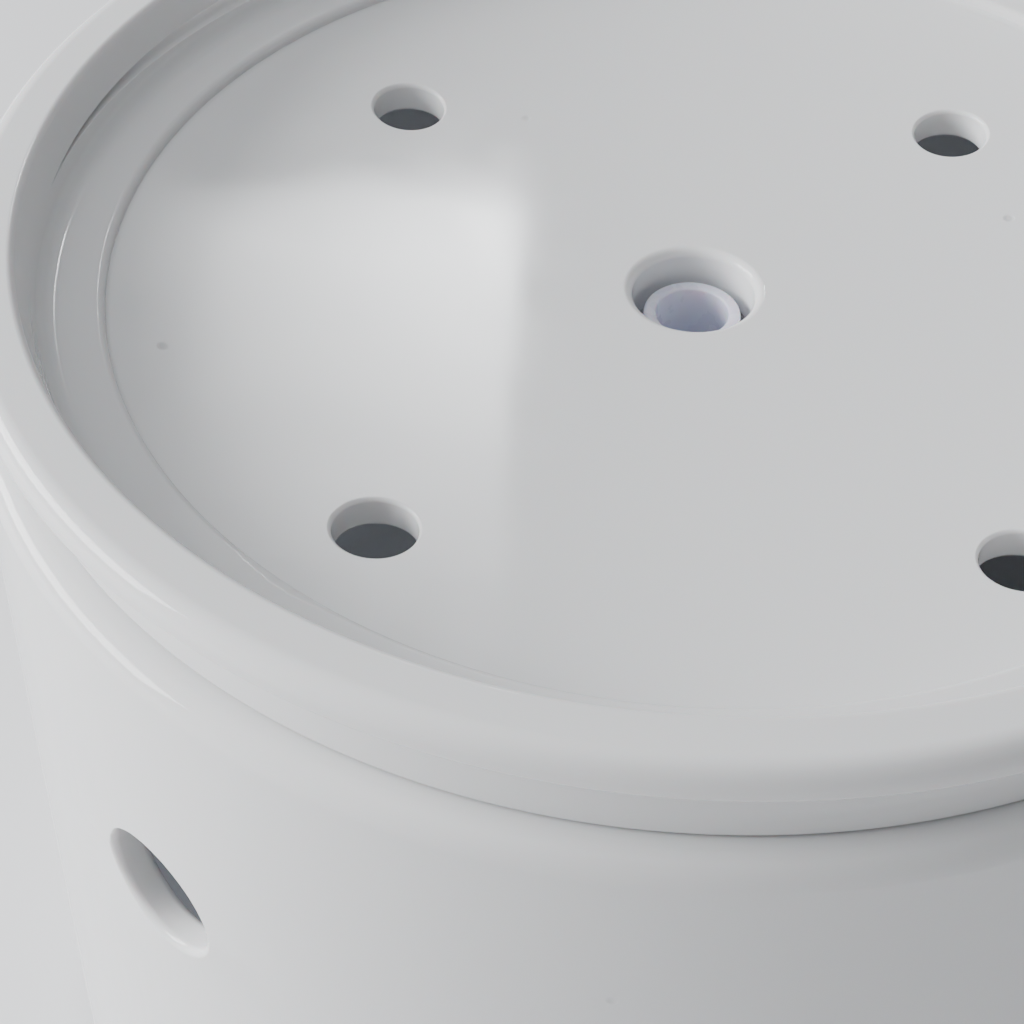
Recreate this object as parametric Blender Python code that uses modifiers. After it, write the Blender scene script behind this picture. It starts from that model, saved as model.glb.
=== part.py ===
"""Porcelain drinking fountain: a perforated bowl that sits in the mouth of a hollow vessel.

A small submersible pump stands on suction cups inside the vessel and lifts the water through
a soft riser hose into the middle of the bowl; the water runs back through four return holes.

Units are metres, +Z is up, and the origin is the middle of the footprint on the ground.
The pump's rotor axis runs along Y: the cable gland is at the -Y end, the intake at the +Y end.
"""
import math

import bmesh
import bpy
from mathutils import Vector

# ---------------------------------------------------------------- driving dimensions
GAP = 0.0003                    # clearance left between pieces that touch

OVERALL_HEIGHT = 0.150          # ground to rim of the bowl
BODY_TOP_RADIUS = 0.0870        # vessel, outside, at its shoulder
BODY_FLARE = 0.0055             # how much wider the vessel is at its foot
BODY_WALL = 0.0045
BODY_FLOOR = 0.0050
SHOULDER_ROUND = 0.0030
FOOT_ROUND = 0.0020
FOOT_RING_WIDTH = 0.0080
FOOT_RING_EDGE = 0.0008
FOOT_RECESS = 0.0018
VESSEL_INNER_ROUND = 0.0060
SHOULDER_FILLET = 0.0030        # inside, under the shoulder
MOUTH_ROUND = 0.0008

FOOT_PAD_COUNT = 4
FOOT_PAD_RADIUS = 0.0055
FOOT_PAD_HEIGHT = 0.0027
FOOT_PAD_ROUND = 0.0008
FOOT_PAD_INSET = 0.0075         # pad centre, inside the foot ring

CABLE_HOLE_RADIUS = 0.00825
CABLE_HOLE_BEARING = -128.5     # degrees from +X
CABLE_HOLE_DROP = 0.0530        # below the rim of the bowl

SHOULDER_WIDTH = 0.0041         # shoulder left showing around the bowl's neck
SEAT_WIDTH = 0.0075             # shoulder covered by the bowl
NECK_HEIGHT = 0.0137            # rim of the bowl to its seat
RIM_OVERHANG = 0.0034           # rim past the neck
RIM_DEPTH = 0.0042
RIM_OUTER_ROUND = 0.0026
RIM_LOWER_ROUND = 0.0012
RIM_INNER_ROUND = 0.0008
RIM_WALL = 0.0036               # neck to the inner edge of the rim
LIP_UNDERCUT = 0.0006           # slope under the rim, towards the neck
LIP_FILLET = 0.0010
SEAT_ROUND = 0.0006
BOWL_FLOOR = 0.0042
WALL_TAPER = 0.0016
LEDGE_DEPTH = 0.0095            # rim to ledge
LEDGE_WIDTH = 0.0072
LEDGE_FILLET = 0.0024
LEDGE_EDGE_ROUND = 0.0009
BOWL_DEPTH = 0.0159             # rim to the middle of the floor
FLOOR_DISH = 0.0050             # rise of the floor towards the ledge
DISH_POWER = 2                  # the floor is a shallow dish, deepest in the middle
FOOT_RING_DEPTH = 0.0105        # seat to the bottom of the bowl's own foot ring
FOOT_RING_WALL = 0.0050
FOOT_RING_ROUND = 0.0018
COLLAR_WALL = 0.0040            # collar round the hose under the floor
COLLAR_DEPTH = 0.0038
COLLAR_ROUND = 0.0010
RISER_HOLE_RADIUS = 0.0075
RISER_HOLE_ROUND = 0.0012
RETURN_HOLE_RADIUS = 0.00465
# return holes, pierced by hand: distance in from the ledge, bearing in degrees
RETURN_HOLES = ((0.0200, 142.1), (0.0240, 46.6), (0.0133, -123.3), (0.0128, -50.8))

HOSE_OUTER_RADIUS = 0.0060
HOSE_BORE_RADIUS = 0.0045
HOSE_SINK = 0.0036              # end of the hose below the middle of the floor
HOSE_FOOT_CLEARANCE = 0.0015    # end of the hose above the pump

PUMP_WIDTH = 0.0360
PUMP_HEIGHT = 0.0420
PUMP_AXIS_DROP = 0.0150         # rotor axis below the top of the pump
MOTOR_LENGTH = 0.0302
PUMP_WALL = 0.0024
PUMP_ROUND = 0.0030
COVER_WALL = 0.0020
COVER_DEPTH = 0.0250

VOLUTE_RADIUS = 0.0125
VOLUTE_WALL = 0.0020
VOLUTE_DEPTH = 0.0160
COLLAR_LENGTH = 0.0030
O_RING_THICKNESS = 0.0010
EYE_RADIUS = 0.0068
BEARING_HUB_RADIUS = 0.0034
NOZZLE_BASE_RADIUS = 0.0050
NOZZLE_BORE_RADIUS = 0.0026
NOZZLE_LENGTH = 0.0160          # above the top of the pump
BARB_STEP = 0.0005
BARB_COUNT = 3
BARB_PITCH = 0.0035

SHAFT_RADIUS = 0.0010
BUSH_WALL = 0.0008
ROTOR_RADIUS = 0.0058
ROTOR_LENGTH = 0.0205
WELL_WALL = 0.0014
REAR_BUSH_LENGTH = 0.0024
IMPELLER_RADIUS = 0.0088
IMPELLER_HUB_RADIUS = 0.0032
IMPELLER_BLADES = 6
BLADE_THICKNESS = 0.0012
BLADE_DEPTH = 0.0070

CORE_THICKNESS = 0.0120
CORE_YOKE = 0.0058
WINDING_THICKNESS = 0.0030
WINDING_ROUND = 0.0012
POLE_CLEARANCE = 0.0015         # well to the core's legs
SEAL_THICKNESS = 0.0032
GLAND_NECK_RADIUS = 0.0033
GLAND_FLANGE_RADIUS = 0.0052
GLAND_BORE_RADIUS = 0.0019
GLAND_FLANGE_THICKNESS = 0.0016
GLAND_SHOULDER = 0.0004
GLAND_TIP_WALL = 0.0009
GLAND_ROUND = 0.0004
GLAND_LENGTH = 0.0110
GLAND_DROP = 0.0080             # gland below the rotor axis

DIAL_RADIUS = 0.0090
DIAL_THICKNESS = 0.0020
DIAL_PIN_RADIUS = 0.0020
DIAL_WINDOW_RADIUS = 0.0023
DIAL_WINDOW_OFFSET = 0.0056
DIAL_GRIP_WIDTH = 0.0022
DIAL_GRIP_HEIGHT = 0.0024
DIAL_ROUND = 0.0005
INTAKE_SLOTS = 5
INTAKE_SLOT_WIDTH = 0.0024
SPONGE_THICKNESS = 0.0037

CUP_RADIUS = 0.0063
CUP_HEIGHT = 0.0050
CUP_RIM_HEIGHT = 0.0006
CUP_RIM_WIDTH = 0.0007
CUP_SHOULDER_HEIGHT = 0.0036
CUP_SHOULDER_WIDTH = 0.0010     # past the stub
CUP_HOLLOW = 0.0020
CUP_STUB_RADIUS = 0.0020
BOSS_HEIGHT = 0.0025
BOSS_WALL = 0.0013

STEPS_LARGE = 48                # facets round the ceramic pieces
STEPS_SMALL = 20                # facets round the pump's pieces

# ---------------------------------------------------------------- worked-out places
FOOT_Z = FOOT_PAD_HEIGHT + GAP - FOOT_RECESS
RECESS_Z = FOOT_Z + FOOT_RECESS
VESSEL_FLOOR_Z = RECESS_Z + BODY_FLOOR
FOOT_RADIUS = BODY_TOP_RADIUS + BODY_FLARE
RIM_Z = OVERALL_HEIGHT
SEAT_Z = RIM_Z - NECK_HEIGHT
SHOULDER_Z = SEAT_Z - GAP
NECK_RADIUS = BODY_TOP_RADIUS - SHOULDER_WIDTH
MOUTH_RADIUS = NECK_RADIUS - SEAT_WIDTH
PLUG_RADIUS = MOUTH_RADIUS - GAP
RIM_OUTER_RADIUS = NECK_RADIUS + RIM_OVERHANG
RIM_INNER_RADIUS = NECK_RADIUS - RIM_WALL
LEDGE_OUTER_RADIUS = RIM_INNER_RADIUS - WALL_TAPER
LEDGE_INNER_RADIUS = LEDGE_OUTER_RADIUS - LEDGE_WIDTH
LEDGE_Z = RIM_Z - LEDGE_DEPTH
BASIN_Z = RIM_Z - BOWL_DEPTH
FOOT_RING_Z = SEAT_Z - FOOT_RING_DEPTH
CABLE_HOLE_Z = RIM_Z - CABLE_HOLE_DROP

CUP_Z = VESSEL_FLOOR_Z + GAP
BOSS_Z = CUP_Z + CUP_HEIGHT + GAP
PUMP_BOTTOM_Z = BOSS_Z + BOSS_HEIGHT
PUMP_TOP_Z = PUMP_BOTTOM_Z + PUMP_HEIGHT
AXIS_Z = PUMP_TOP_Z - PUMP_AXIS_DROP

VOLUTE_BACK_Y = -VOLUTE_DEPTH / 2
VOLUTE_FRONT_Y = VOLUTE_DEPTH / 2
VOLUTE_BORE = VOLUTE_RADIUS - VOLUTE_WALL
MOTOR_FRONT_Y = VOLUTE_BACK_Y - GAP
MOTOR_BACK_Y = MOTOR_FRONT_Y - MOTOR_LENGTH
MOTOR_WALL_Y = MOTOR_FRONT_Y - PUMP_WALL
BUSH_RADIUS = SHAFT_RADIUS + GAP + BUSH_WALL
WELL_BORE = ROTOR_RADIUS + 2 * GAP
WELL_RADIUS = WELL_BORE + WELL_WALL
ROTOR_FRONT_Y = MOTOR_WALL_Y + 4 * GAP
ROTOR_BACK_Y = ROTOR_FRONT_Y - ROTOR_LENGTH
BUSH_FRONT_Y = ROTOR_BACK_Y - GAP
BUSH_BACK_Y = BUSH_FRONT_Y - REAR_BUSH_LENGTH
WELL_END_Y = BUSH_BACK_Y - GAP
SHAFT_BACK_Y = BUSH_BACK_Y + 3 * GAP
SHAFT_FRONT_Y = VOLUTE_FRONT_Y - GAP
BLADE_FRONT_Y = BLADE_DEPTH / 2
BLADE_BACK_Y = -BLADE_DEPTH / 2
HUB_FRONT_Y = BLADE_FRONT_Y + 3 * GAP
BEARING_BACK_Y = HUB_FRONT_Y + GAP
BEARING_FRONT_Y = VOLUTE_FRONT_Y + GAP
CORE_Y = MOTOR_WALL_Y - GAP - WINDING_THICKNESS - GAP - CORE_THICKNESS / 2
SEAL_BACK_Y = MOTOR_BACK_Y + GAP
SEAL_FRONT_Y = SEAL_BACK_Y + SEAL_THICKNESS
COVER_BACK_Y = MOTOR_FRONT_Y + GAP
COVER_FRONT_Y = COVER_BACK_Y + COVER_DEPTH
COVER_INSIDE_Y = COVER_FRONT_Y - COVER_WALL
BARB_RADIUS = HOSE_BORE_RADIUS - GAP
HOSE_BOTTOM_Z = PUMP_TOP_Z + HOSE_FOOT_CLEARANCE
HOSE_TOP_Z = BASIN_Z - HOSE_SINK
NOZZLE_TOP_Z = PUMP_TOP_Z + NOZZLE_LENGTH
BOSS_RADIUS = CUP_STUB_RADIUS + GAP + BOSS_WALL


# ---------------------------------------------------------------- modelling helpers
def clear_scene():
    for old in list(bpy.data.objects):
        bpy.data.objects.remove(old, do_unlink=True)


def new_collection(name):
    group = bpy.data.collections.new(name)
    bpy.context.scene.collection.children.link(group)
    return group


def material(name, colour, roughness, metallic=0.0, transmission=0.0):
    made = bpy.data.materials.new(name)
    made.use_nodes = True
    shader = made.node_tree.nodes["Principled BSDF"]
    shader.inputs["Base Color"].default_value = (*colour, 1.0)
    shader.inputs["Roughness"].default_value = roughness
    shader.inputs["Metallic"].default_value = metallic
    shader.inputs["Transmission Weight"].default_value = transmission
    made.diffuse_color = (*colour, 1.0)
    return made


def place(name, mesh, finish, location=(0.0, 0.0, 0.0), lay_along_y=False):
    """Put a mesh in the fountain's collection, with its own copy of the finish."""
    made = bpy.data.objects.new(name, mesh)
    if finish is None:
        cutters.objects.link(made)
        made.hide_render = True
        made.display_type = "WIRE"
    else:
        fountain.objects.link(made)
        own = finish.copy()
        own.name = name + "_finish"
        mesh.materials.append(own)
    made.location = location
    if lay_along_y:
        made.rotation_euler = (-math.pi / 2, 0.0, 0.0)
    return made


def outline(corners, segments=2):
    """Turn (radius, height[, fillet]) corners into points, with an arc at each filleted one."""
    points = []
    for index, corner in enumerate(corners):
        here = Vector(corner[:2])
        fillet = corner[2] if len(corner) > 2 else 0.0
        if fillet == 0.0 or index in (0, len(corners) - 1):
            points.append(here)
            continue
        back = (Vector(corners[index - 1][:2]) - here).normalized()
        ahead = (Vector(corners[index + 1][:2]) - here).normalized()
        half = back.angle(ahead) / 2
        centre = here + (back + ahead).normalized() * (fillet / math.sin(half))
        start = here + back * (fillet / math.tan(half)) - centre
        end = here + ahead * (fillet / math.tan(half)) - centre
        sweep = start.angle_signed(end)
        for step in range(segments + 1):
            turn = -sweep * step / segments
            points.append(centre + Vector((start.x * math.cos(turn) - start.y * math.sin(turn),
                                           start.x * math.sin(turn) + start.y * math.cos(turn))))
    return points


def turned(name, points, finish, steps, closed=False, **placing):
    """Screw a profile round its axis; it runs up the inside and down the outside."""
    mesh = bpy.data.meshes.new(name)
    count = len(points)
    edges = [(i, i + 1) for i in range(count - 1)]
    if closed:
        edges.append((count - 1, 0))
    mesh.from_pydata([(p[0], 0.0, p[1]) for p in points], edges, [])
    made = place(name, mesh, finish, **placing)
    screw = made.modifiers.new("turn", "SCREW")
    screw.steps = screw.render_steps = steps
    screw.use_merge_vertices = True
    screw.merge_threshold = 0.00001
    screw.use_smooth_shade = True
    return made


def block(name, low, high, finish, rounding=0.0, segments=2, location=(0.0, 0.0, 0.0)):
    """A box between two corners, with its edges rounded."""
    mesh = bpy.data.meshes.new(name)
    form = bmesh.new()
    bmesh.ops.create_cube(form, size=1.0)
    size = Vector(high) - Vector(low)
    middle = (Vector(high) + Vector(low)) / 2
    bmesh.ops.scale(form, vec=size, verts=form.verts)
    bmesh.ops.translate(form, vec=middle, verts=form.verts)
    form.to_mesh(mesh)
    form.free()
    made = place(name, mesh, finish, location=location)
    if rounding > 0.0:
        bevel = made.modifiers.new("rounded edges", "BEVEL")
        bevel.width = rounding
        bevel.segments = segments
    return made


def rod(name, radius, start, end, finish=None, steps=STEPS_SMALL, **placing):
    """A plain cylinder between two heights on its own axis."""
    mesh = bpy.data.meshes.new(name)
    form = bmesh.new()
    bmesh.ops.create_cone(form, cap_ends=True, segments=steps, radius1=radius, radius2=radius,
                          depth=end - start)
    bmesh.ops.translate(form, vec=(0.0, 0.0, (start + end) / 2), verts=form.verts)
    form.to_mesh(mesh)
    form.free()
    mesh.shade_smooth()
    mesh.set_sharp_from_angle(angle=math.radians(35))
    return place(name, mesh, finish, **placing)


def ring(name, outer, inner, start, end, finish, **placing):
    """A turned sleeve with square rims."""
    points = [(inner, start), (inner, end), (outer, end), (outer, start)]
    return turned(name, points, finish, STEPS_SMALL, closed=True, **placing)


def combine(target, tool, operation="DIFFERENCE"):
    step = target.modifiers.new(operation.lower() + " " + tool.name, "BOOLEAN")
    step.operation = operation
    step.object = tool
    step.solver = "EXACT"
    return target


def on_axis(piece):
    """Hang a pump piece from the empty that marks the rotor axis."""
    piece.parent = pump_axis
    return piece


# ---------------------------------------------------------------- finishes and groups
clear_scene()
fountain = new_collection("porcelain_drinking_fountain")
cutters = new_collection("cutters")
GLAZE = material("white_glaze", (0.80, 0.80, 0.805), 0.08)
CLEAR_SILICONE = material("clear_silicone", (0.80, 0.80, 0.78), 0.35)
HOSE_PVC = material("soft_pvc", (0.72, 0.74, 0.84), 0.30)
BLACK_PLASTIC = material("black_plastic", (0.035, 0.036, 0.040), 0.40)
BLACK_RUBBER = material("black_rubber", (0.025, 0.025, 0.027), 0.60)
WHITE_PLASTIC = material("white_plastic", (0.75, 0.75, 0.73), 0.35)
FERRITE = material("ferrite", (0.10, 0.10, 0.11), 0.55)
CERAMIC_PIN = material("ceramic_pin", (0.85, 0.84, 0.80), 0.20)
STEEL = material("lamination_steel", (0.35, 0.35, 0.37), 0.35, metallic=1.0)
COPPER = material("enamelled_copper", (0.55, 0.20, 0.07), 0.35, metallic=1.0)
RESIN = material("potting_resin", (0.03, 0.03, 0.035), 0.25)
SPONGE = material("filter_sponge", (0.06, 0.06, 0.065), 0.95)

pump_axis = bpy.data.objects.new("pump_axis", None)
pump_axis.location = (0.0, 0.0, AXIS_Z)
fountain.objects.link(pump_axis)


# ---------------------------------------------------------------- the vessel
def make_reservoir():
    """Slip-cast vessel: flared wall, inward shoulder that seats the bowl, recessed foot."""
    height = SHOULDER_Z - FOOT_Z
    inner_foot = FOOT_RADIUS - BODY_WALL - BODY_FLARE * (VESSEL_FLOOR_Z - FOOT_Z) / height
    points = outline([
        (0.0, VESSEL_FLOOR_Z),
        (inner_foot, VESSEL_FLOOR_Z, VESSEL_INNER_ROUND),
        (BODY_TOP_RADIUS - BODY_WALL, SHOULDER_Z - BODY_WALL, SHOULDER_FILLET),
        (MOUTH_RADIUS, SHOULDER_Z - BODY_WALL, MOUTH_ROUND),
        (MOUTH_RADIUS, SHOULDER_Z, MOUTH_ROUND),
        (BODY_TOP_RADIUS, SHOULDER_Z, SHOULDER_ROUND),
        (FOOT_RADIUS, FOOT_Z, FOOT_ROUND),
        (FOOT_RADIUS - FOOT_RING_WIDTH, FOOT_Z, FOOT_RING_EDGE),
        (FOOT_RADIUS - FOOT_RING_WIDTH - FOOT_RING_EDGE, RECESS_Z),
        (0.0, RECESS_Z)])
    reservoir = turned("reservoir", points, GLAZE, STEPS_LARGE)
    bearing = math.radians(CABLE_HOLE_BEARING)
    drill = rod("cable_hole_cutter", CABLE_HOLE_RADIUS, BODY_TOP_RADIUS - 3 * BODY_WALL,
                FOOT_RADIUS + BODY_WALL, steps=32, location=(0.0, 0.0, CABLE_HOLE_Z))
    drill.rotation_euler = (0.0, math.pi / 2, bearing)
    combine(reservoir, drill)


def make_foot_pads():
    """Silicone dots stuck in the recess, standing just proud of the foot ring."""
    reach = FOOT_RADIUS - FOOT_RING_WIDTH - FOOT_PAD_INSET
    for number in range(FOOT_PAD_COUNT):
        bearing = 2 * math.pi * (number + 0.5) / FOOT_PAD_COUNT
        points = outline([(0.0, FOOT_PAD_HEIGHT), (FOOT_PAD_RADIUS, FOOT_PAD_HEIGHT),
                          (FOOT_PAD_RADIUS, 0.0, FOOT_PAD_ROUND), (0.0, 0.0)])
        turned("foot_pad_%d" % (number + 1), points, CLEAR_SILICONE, STEPS_SMALL,
               location=(reach * math.cos(bearing), reach * math.sin(bearing), 0.0))


# ---------------------------------------------------------------- the bowl
def floor_points(start, end, middle, steps=8):
    """The floor's section: a shallow dish, deepest in the middle."""
    radii = [start + (end - start) * i / steps for i in range(steps + 1)]
    return [(r, middle + FLOOR_DISH * (r / LEDGE_INNER_RADIUS) ** DISH_POWER) for r in radii]


def make_drinking_bowl():
    """Slip-cast bowl: rolled rim, neck on the vessel's shoulder, ledge, dished floor, foot ring."""
    under = BASIN_Z - BOWL_FLOOR
    ring_inside = PLUG_RADIUS - FOOT_RING_WALL
    collar = RISER_HOLE_RADIUS + COLLAR_WALL
    basin = floor_points(RISER_HOLE_RADIUS + RISER_HOLE_ROUND, LEDGE_INNER_RADIUS, BASIN_Z)
    soffit = floor_points(ring_inside, collar, under)
    outside = outline([
        (RIM_INNER_RADIUS + RIM_INNER_ROUND, RIM_Z),
        (RIM_OUTER_RADIUS, RIM_Z, RIM_OUTER_ROUND),
        (RIM_OUTER_RADIUS, RIM_Z - RIM_DEPTH, RIM_LOWER_ROUND),
        (NECK_RADIUS, RIM_Z - RIM_DEPTH - LIP_UNDERCUT, LIP_FILLET),
        (NECK_RADIUS, SEAT_Z, SEAT_ROUND),
        (PLUG_RADIUS, SEAT_Z, SEAT_ROUND),
        (PLUG_RADIUS, FOOT_RING_Z, FOOT_RING_ROUND),
        (ring_inside, FOOT_RING_Z, FOOT_RING_ROUND),
        (ring_inside, soffit[0][1], FOOT_RING_ROUND),
        soffit[1]])
    hole = outline([
        soffit[-2],
        (collar, soffit[-1][1], COLLAR_ROUND),
        (collar, under - COLLAR_DEPTH, COLLAR_ROUND),
        (RISER_HOLE_RADIUS, under - COLLAR_DEPTH, COLLAR_ROUND),
        (RISER_HOLE_RADIUS, basin[0][1], RISER_HOLE_ROUND),
        basin[0]])
    inside = outline([
        basin[-1],
        (LEDGE_INNER_RADIUS, LEDGE_Z, LEDGE_EDGE_ROUND),
        (LEDGE_OUTER_RADIUS, LEDGE_Z, LEDGE_FILLET),
        (RIM_INNER_RADIUS, RIM_Z, RIM_INNER_ROUND),
        (RIM_INNER_RADIUS + RIM_INNER_ROUND, RIM_Z)])
    points = outside + soffit[2:-2] + hole + basin[1:-1] + inside[:-1]
    bowl = turned("drinking_bowl", points, GLAZE, STEPS_LARGE, closed=True)
    for number, (inset, degrees) in enumerate(RETURN_HOLES):
        reach = LEDGE_INNER_RADIUS - inset
        bearing = math.radians(degrees)
        drill = rod("return_hole_cutter_%d" % (number + 1), RETURN_HOLE_RADIUS,
                    FOOT_RING_Z, BASIN_Z + 2 * FLOOR_DISH, steps=24,
                    location=(reach * math.cos(bearing), reach * math.sin(bearing), 0.0))
        combine(bowl, drill)


# ---------------------------------------------------------------- the riser hose
def make_riser_hose():
    ring("riser_hose", HOSE_OUTER_RADIUS, HOSE_BORE_RADIUS, HOSE_BOTTOM_Z, HOSE_TOP_Z, HOSE_PVC)


# ---------------------------------------------------------------- the pump's motor end
def pump_corner_places():
    """Where the four suction cups stand under the motor."""
    across = PUMP_WIDTH / 2 - CUP_RADIUS
    front = MOTOR_FRONT_Y - CUP_RADIUS
    back = MOTOR_BACK_Y + CUP_RADIUS * 0.8
    return [(side * across, along) for along in (front, back) for side in (-1, 1)]


def make_pump_housing():
    """Moulded motor case, open at the back for its core, with a blind well for the rotor."""
    half = PUMP_WIDTH / 2
    low = PUMP_BOTTOM_Z - AXIS_Z
    high = PUMP_TOP_Z - AXIS_Z
    housing = block("pump_housing", (-half, MOTOR_BACK_Y - PUMP_ROUND, low),
                    (half, MOTOR_FRONT_Y, high), BLACK_PLASTIC, PUMP_ROUND)
    on_axis(housing)
    trim = block("housing_trim_cutter", (-PUMP_WIDTH, MOTOR_BACK_Y - 2 * PUMP_ROUND, -PUMP_HEIGHT),
                 (PUMP_WIDTH, MOTOR_BACK_Y, PUMP_HEIGHT), None)
    combine(housing, on_axis(trim))
    room = block("motor_room_cutter", (PUMP_WALL - half, MOTOR_BACK_Y - PUMP_WALL, low + PUMP_WALL),
                 (half - PUMP_WALL, MOTOR_WALL_Y, high - PUMP_WALL), None)
    well = rod("well_keeper", WELL_RADIUS, WELL_END_Y - WELL_WALL, MOTOR_FRONT_Y,
               lay_along_y=True)
    bore = rod("well_cutter", WELL_BORE, WELL_END_Y, MOTOR_FRONT_Y + 2 * COLLAR_LENGTH,
               lay_along_y=True)
    collar_radius = VOLUTE_BORE - O_RING_THICKNESS - 2 * GAP
    collar = rod("collar", collar_radius, MOTOR_FRONT_Y - GAP, MOTOR_FRONT_Y + COLLAR_LENGTH,
                 lay_along_y=True)
    for tool in (room, well, bore, collar):
        on_axis(tool)
    combine(room, well)
    combine(housing, collar, "UNION")
    combine(housing, room)
    combine(housing, bore)
    for number, (x, y) in enumerate(pump_corner_places()):
        boss = rod("cup_boss_%d" % (number + 1), BOSS_RADIUS, BOSS_Z, PUMP_BOTTOM_Z + GAP,
                   location=(x, y, 0.0), steps=16)
        socket = rod("cup_socket_cutter_%d" % (number + 1), CUP_STUB_RADIUS + GAP,
                     BOSS_Z - BOSS_HEIGHT, PUMP_BOTTOM_Z - GAP, location=(x, y, 0.0), steps=16)
        combine(housing, boss, "UNION")
        combine(housing, socket)


def make_suction_cups():
    """Soft rubber cups that hold the pump to the vessel's floor."""
    stub_top = PUMP_BOTTOM_Z - 2 * GAP
    points = [
        (0.0, stub_top),
        (CUP_STUB_RADIUS, stub_top),
        (CUP_STUB_RADIUS, CUP_Z + CUP_HEIGHT),
        (CUP_STUB_RADIUS + CUP_SHOULDER_WIDTH, CUP_Z + CUP_HEIGHT),
        (CUP_STUB_RADIUS + CUP_SHOULDER_WIDTH, CUP_Z + CUP_SHOULDER_HEIGHT),
        (CUP_RADIUS, CUP_Z + CUP_RIM_HEIGHT),
        (CUP_RADIUS, CUP_Z),
        (CUP_RADIUS - CUP_RIM_WIDTH, CUP_Z),
        (0.0, CUP_Z + CUP_HOLLOW)]
    for number, (x, y) in enumerate(pump_corner_places()):
        turned("suction_cup_%d" % (number + 1), points, BLACK_RUBBER, 20,
               location=(x, y, 0.0))


def make_stator():
    """U-shaped lamination stack that hugs the rotor well, with the winding on its yoke."""
    half = PUMP_WIDTH / 2 - PUMP_WALL - GAP
    bottom = PUMP_BOTTOM_Z - AXIS_Z + PUMP_WALL
    winding_bottom = bottom + GAP
    yoke_low = winding_bottom + WINDING_THICKNESS + GAP
    yoke_high = yoke_low + CORE_YOKE
    winding_top = yoke_high + GAP + WINDING_THICKNESS
    leg = WELL_RADIUS + POLE_CLEARANCE
    back = CORE_Y - CORE_THICKNESS / 2
    front = CORE_Y + CORE_THICKNESS / 2
    core = block("stator_core", (-half, back, yoke_low), (half, front, WELL_RADIUS), STEEL)
    gap_between_legs = block("core_window_cutter", (-leg, back - GAP, yoke_high),
                             (leg, front + GAP, 2 * WELL_RADIUS), None)
    on_axis(core)
    on_axis(gap_between_legs)
    combine(core, gap_between_legs)
    across = leg - GAP
    coil = block("stator_coil",
                 (-across, back - GAP - WINDING_THICKNESS, winding_bottom),
                 (across, front + GAP + WINDING_THICKNESS, winding_top),
                 COPPER, rounding=WINDING_ROUND)
    window = block("coil_window_cutter", (-half, back - GAP, yoke_low - GAP),
                   (half, front + GAP, yoke_high + GAP), None)
    on_axis(coil)
    on_axis(window)
    combine(coil, window)


def make_rear_seal():
    """Resin plate that closes the motor's back, and the cable gland moulded into it."""
    half = PUMP_WIDTH / 2 - PUMP_WALL - GAP
    low = PUMP_BOTTOM_Z - AXIS_Z + PUMP_WALL + GAP
    high = PUMP_TOP_Z - AXIS_Z - PUMP_WALL - GAP
    seal = block("rear_seal", (-half, SEAL_BACK_Y, low), (half, SEAL_FRONT_Y, high), RESIN)
    drill = rod("gland_hole_cutter", GLAND_NECK_RADIUS + GAP, SEAL_BACK_Y - SEAL_THICKNESS,
                SEAL_FRONT_Y + SEAL_THICKNESS, location=(0.0, 0.0, -GLAND_DROP),
                lay_along_y=True)
    on_axis(seal)
    on_axis(drill)
    combine(seal, drill)
    flange_y = SEAL_BACK_Y - GAP
    points = outline([
        (GLAND_BORE_RADIUS, flange_y - GLAND_LENGTH),
        (GLAND_BORE_RADIUS, SEAL_FRONT_Y),
        (GLAND_NECK_RADIUS, SEAL_FRONT_Y),
        (GLAND_NECK_RADIUS, flange_y),
        (GLAND_FLANGE_RADIUS, flange_y),
        (GLAND_FLANGE_RADIUS, flange_y - GLAND_FLANGE_THICKNESS, GLAND_ROUND),
        (GLAND_NECK_RADIUS + GLAND_SHOULDER, flange_y - GLAND_FLANGE_THICKNESS),
        (GLAND_BORE_RADIUS + GLAND_TIP_WALL, flange_y - GLAND_LENGTH, GLAND_ROUND),
        (GLAND_BORE_RADIUS, flange_y - GLAND_LENGTH)], segments=2)[:-1]
    on_axis(turned("cable_gland", points, BLACK_RUBBER, STEPS_SMALL, closed=True,
                   location=(0.0, 0.0, -GLAND_DROP), lay_along_y=True))


# ---------------------------------------------------------------- the rotor and its bearings
def make_rotor():
    on_axis(rod("rotor_shaft", SHAFT_RADIUS, SHAFT_BACK_Y, SHAFT_FRONT_Y, CERAMIC_PIN,
                steps=16, lay_along_y=True))
    on_axis(ring("rotor_magnet", ROTOR_RADIUS, SHAFT_RADIUS + GAP, ROTOR_BACK_Y, ROTOR_FRONT_Y,
                 FERRITE, lay_along_y=True))
    points = [(0.0, SHAFT_BACK_Y - GAP), (SHAFT_RADIUS + GAP, SHAFT_BACK_Y - GAP),
              (SHAFT_RADIUS + GAP, BUSH_FRONT_Y), (WELL_BORE - GAP, BUSH_FRONT_Y),
              (WELL_BORE - GAP, BUSH_BACK_Y), (0.0, BUSH_BACK_Y)]
    on_axis(turned("rear_bush", points, BLACK_RUBBER, STEPS_SMALL, lay_along_y=True))
    on_axis(ring("front_bush", BUSH_RADIUS, SHAFT_RADIUS + GAP, BEARING_BACK_Y,
                 BEARING_FRONT_Y, BLACK_RUBBER, lay_along_y=True))


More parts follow.
